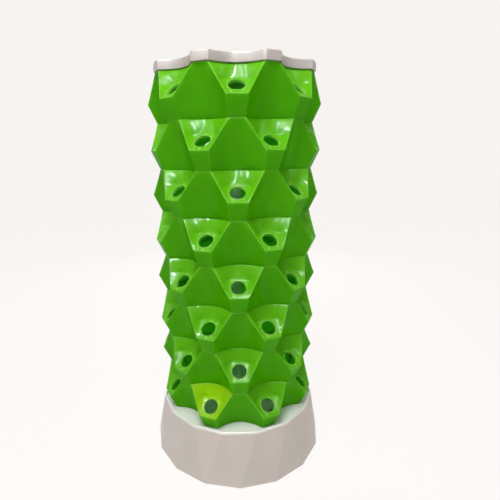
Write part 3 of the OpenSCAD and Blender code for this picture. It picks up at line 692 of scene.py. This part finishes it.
def makeTankMesh():
    high = tank["height"]
    outer = bmesh.new()
    facetDrum(outer, tankLoop(tank["foot"], 0, 0), [tankLoop(tank["rim"], high, 0.5)])
    bmesh.ops.bevel(outer, geom=list(outer.edges), offset=tank["facetSoft"] * milli, segments=3,
                    profile=0.5, affect="EDGES")
    hollow = bmesh.new()
    mouth, soft, (bendOut, bendDown) = sideRadius(high), tank["rimSoft"], tank["rimBend"]
    lips = [(mouth, high - soft), (mouth + bendOut * soft, high - bendDown * soft), (mouth + soft, high),
            (mouth + soft, high + 2 * overcut)]
    floor = tankLoop(sideRadius(tank["floor"]), tank["floor"], 0)
    facetDrum(hollow, floor, [tankLoop(*p, 0.5) for p in lips])
    recess = bmesh.new()
    recessRadius, soft = tank["foot"] - tank["footWidth"], tank["recessSoft"]
    drum(recess, [(recessRadius + soft, -overcut), (recessRadius + soft, 0), (recessRadius, soft),
                  (recessRadius, tank["rise"])], facets["recess"])
    extras = bmesh.new()
    ledgeIn = mouth * cos(radians(halfSide)) - tank["ledgeWide"]
    top, low = tank["ledgeTop"], tank["ledgeTop"] - tank["ledgeHigh"]
    ledgeOut, soft = tank["ledgeOut"], tank["ledgeSoft"]
    turned(extras, [(ledgeIn, low + soft), (ledgeIn + soft, low), (ledgeOut, low), (ledgeOut, top),
                    (ledgeIn + soft, top), (ledgeIn, top - soft)], facets["ring"])
    ribLow, ribTop = tank["ribRise"], tank["rise"] + tank["ribSink"]
    hub, hubIn, half = tank["ribHub"], tank["ribHub"] - tank["rib"], tank["rib"] / 2
    for i in range(tank["ribs"]):
        block(extras, (hub - half, -half, ribLow), (recessRadius + overcut, half, ribTop),
              turnedBy(360 * i / tank["ribs"]), tank["ribSoft"])
    turned(extras, [(hubIn, ribLow), (hub, ribLow), (hub, ribTop), (hubIn, ribTop)], facets["bore"])
    bores = bmesh.new()
    deep, soft, bend = -tank["padThick"], tank["bossSoft"], tank["bossBend"]
    for angle, z, bore, boss in (tank["drain"], tank["gland"]):
        place = padPlace(angle, z)
        drum(extras, [(boss, deep), (boss, -soft), (boss - bend, -bend), (boss - soft, 0)],
             facets["bore"], place)
        drum(bores, [(bore, deep - overcut), (bore, overcut)], facets["bore"], place)
    return combined("tankMesh", meshFrom("tankOuter", outer), [
        ("DIFFERENCE", meshFrom("tankHollow", hollow)), ("DIFFERENCE", meshFrom("tankRecess", recess)),
        ("UNION", meshFrom("tankExtras", extras)), ("DIFFERENCE", meshFrom("tankBores", bores))],
        tank["softAngle"])


tankMesh = makeTankMesh()
dress(objectFrom("facetTank", tankMesh), "tank", "shell_white", finishes["shell_white"], "tank_shell")
print("tank made:", len(tankMesh.vertices), "points")

# Carried nodes get their finishes
slotOf = {part["node"]: part["material_slot"] for part in frame["record"]["subparts"]}
special = {"drip_tray": trayWhite, "water_pan": trayWhite, "water_spreader": trayWhite}
for name, node in frame["nodes"].items():
    node.data.materials.clear()
    node.data.materials.append(special.get(name, finishes[slotOf[name]]))
print("carried nodes dressed")

# Studio
studio = {
    "floorColour": rgb(0.80, 0.795, 0.785), "floorGrain": rgb(0.77, 0.765, 0.755), "floorRough": 0.65,
    "floorHalf": 6, "speckSeed": 1.0, "speckScale": 40,
    "floorWhite": rgb(1.0, 0.972, 0.950), "floorShare": 0.90, "backWhite": rgb(0.925, 0.90, 0.878),
    "world": 0.26, "worldTint": rgb(1.0, 0.985, 0.97),
}
# name, place, aim, width and height, power
panels = [
    ("keyPanel", (-0.25, -0.92, 2.28), (0, 0, 0.78), (0.75, 0.55), 32),
    ("fillFront", (0.2, -1.7, 1.4), (0, 0, 0.8), (0.8, 0.5), 3),
    ("sideLeft", (-1.7, -0.6, 1.65), (0, 0, 0.95), (0.5, 0.8), 4.5),
    ("sideRight", (1.7, -0.4, 1.65), (0, 0, 0.95), (0.4, 0.8), 3),
    ("backLeft", (-0.6, 1.85, 1.0), (0, 0, 0.45), (0.7, 0.9), 9),
    ("backRight", (0.6, 1.85, 1.0), (0, 0, 0.45), (0.7, 0.9), 8),
]
# these are seen only in the gloss: a wide soft sky and narrow strips that draw lines in the pockets
glints = [
    ("skyFront", (0, -1.10, 2.10), (0, -0.15, 0.80), (1.7, 0.6), 8),
    ("skyLeft", (-1.30, -0.40, 2.0), (0, -0.1, 0.75), (0.6, 0.9), 16),
    ("skyRight", (1.30, -0.40, 2.0), (0, -0.1, 0.75), (0.6, 0.9), 13),
    ("stripMiddle", (0.11, -1.02, 1.80), (0, -0.15, 0.75), (0.006, 0.75), 70),
    ("stripNear", (-0.24, -1.00, 1.82), (0, -0.15, 0.75), (0.005, 0.60), 34),
    ("stripLeft", (-0.70, -0.82, 1.80), (0, -0.15, 0.75), (0.006, 0.75), 70),
]


def makeFloor():
    bm = bmesh.new()
    bmesh.ops.create_grid(bm, x_segments=1, y_segments=1, size=studio["floorHalf"])
    floor = objectFrom("studioFloor", meshFrom("studioFloor", bm))
    paint = Board(bpy.data.materials.new("studioFloor"))
    speck = paint.noise(paint.place(studio["speckSeed"]), studio["speckScale"], detail=2)
    lit = paint.add("ShaderNodeBsdfPrincipled", None, {
        "Base Color": paint.blend(speck, studio["floorColour"], studio["floorGrain"]),
        "Roughness": studio["floorRough"]})
    white = paint.add("ShaderNodeEmission", None, {"Color": studio["floorWhite"], "Strength": 1.0})
    floor.data.materials.append(paint.close(paint.add("ShaderNodeMixShader", None, {
        "Fac": paint.seen() * studio["floorShare"], 1: lit, 2: white})))


def makeWorld():
    scene.world = bpy.data.worlds.new("studioWorld")
    sky = Board(scene.world)
    dim = sky.add("ShaderNodeBackground", None, {"Color": studio["worldTint"], "Strength": studio["world"]})
    white = sky.add("ShaderNodeBackground", None, {"Color": studio["backWhite"], "Strength": 1.0})
    mixed = sky.add("ShaderNodeMixShader", None, {"Fac": sky.seen(), 1: dim, 2: white})
    sky.close(mixed, "ShaderNodeOutputWorld")


def areaLamp(name, place, target, size, power, glossOnly=False):
    data = bpy.data.lights.new(name, "AREA")
    data.shape = "RECTANGLE"
    data.size, data.size_y = size
    data.energy = power
    lamp = bpy.data.objects.new(name, data)
    scene.collection.objects.link(lamp)
    lamp.visible_camera = False
    lamp.visible_diffuse = not glossOnly
    lamp.location = place
    lamp.rotation_euler = (Vector(target) - Vector(place)).to_track_quat("-Z", "Y").to_euler()


makeFloor()
makeWorld()
for panel in panels:
    areaLamp(*panel)
for glint in glints:
    areaLamp(*glint, glossOnly=True)
print("studio lit")

# Camera, as the photograph was taken
view = {
    "turn": -0.024677, "place": (0.00216668, -0.95100, 0.635247), "lift": 0.122, "pitch": 0.263160,
    "roll": 0.0098102, "lens": 27.7653, "shift": (0.02558, 0.0128), "sensor": 36, "near": 0.01,
}


def makeCamera():
    data = bpy.data.cameras.new("photoCamera")
    data.sensor_width = view["sensor"]
    data.lens = view["lens"]
    data.shift_x, data.shift_y = view["shift"]
    data.clip_start = view["near"]
    camera = bpy.data.objects.new("photoCamera", data)
    scene.collection.objects.link(camera)
    p, r = view["pitch"], view["roll"]
    forward = Vector((0, cos(p), -sin(p)))
    up = Vector((0, sin(p), cos(p)))
    right = Vector((1, 0, 0))
    x = cos(r) * right - sin(r) * up
    y = sin(r) * right + cos(r) * up
    axes = Matrix((x, y, -forward)).transposed().to_4x4()
    turn = Matrix.Rotation(view["turn"], 4, "Z")
    where = turn @ Vector(view["place"]) + Vector((0, 0, view["lift"]))
    camera.matrix_world = Matrix.Translation(where) @ turn @ axes
    scene.camera = camera


makeCamera()
scene.view_settings.view_transform = "Standard"
print("camera set")
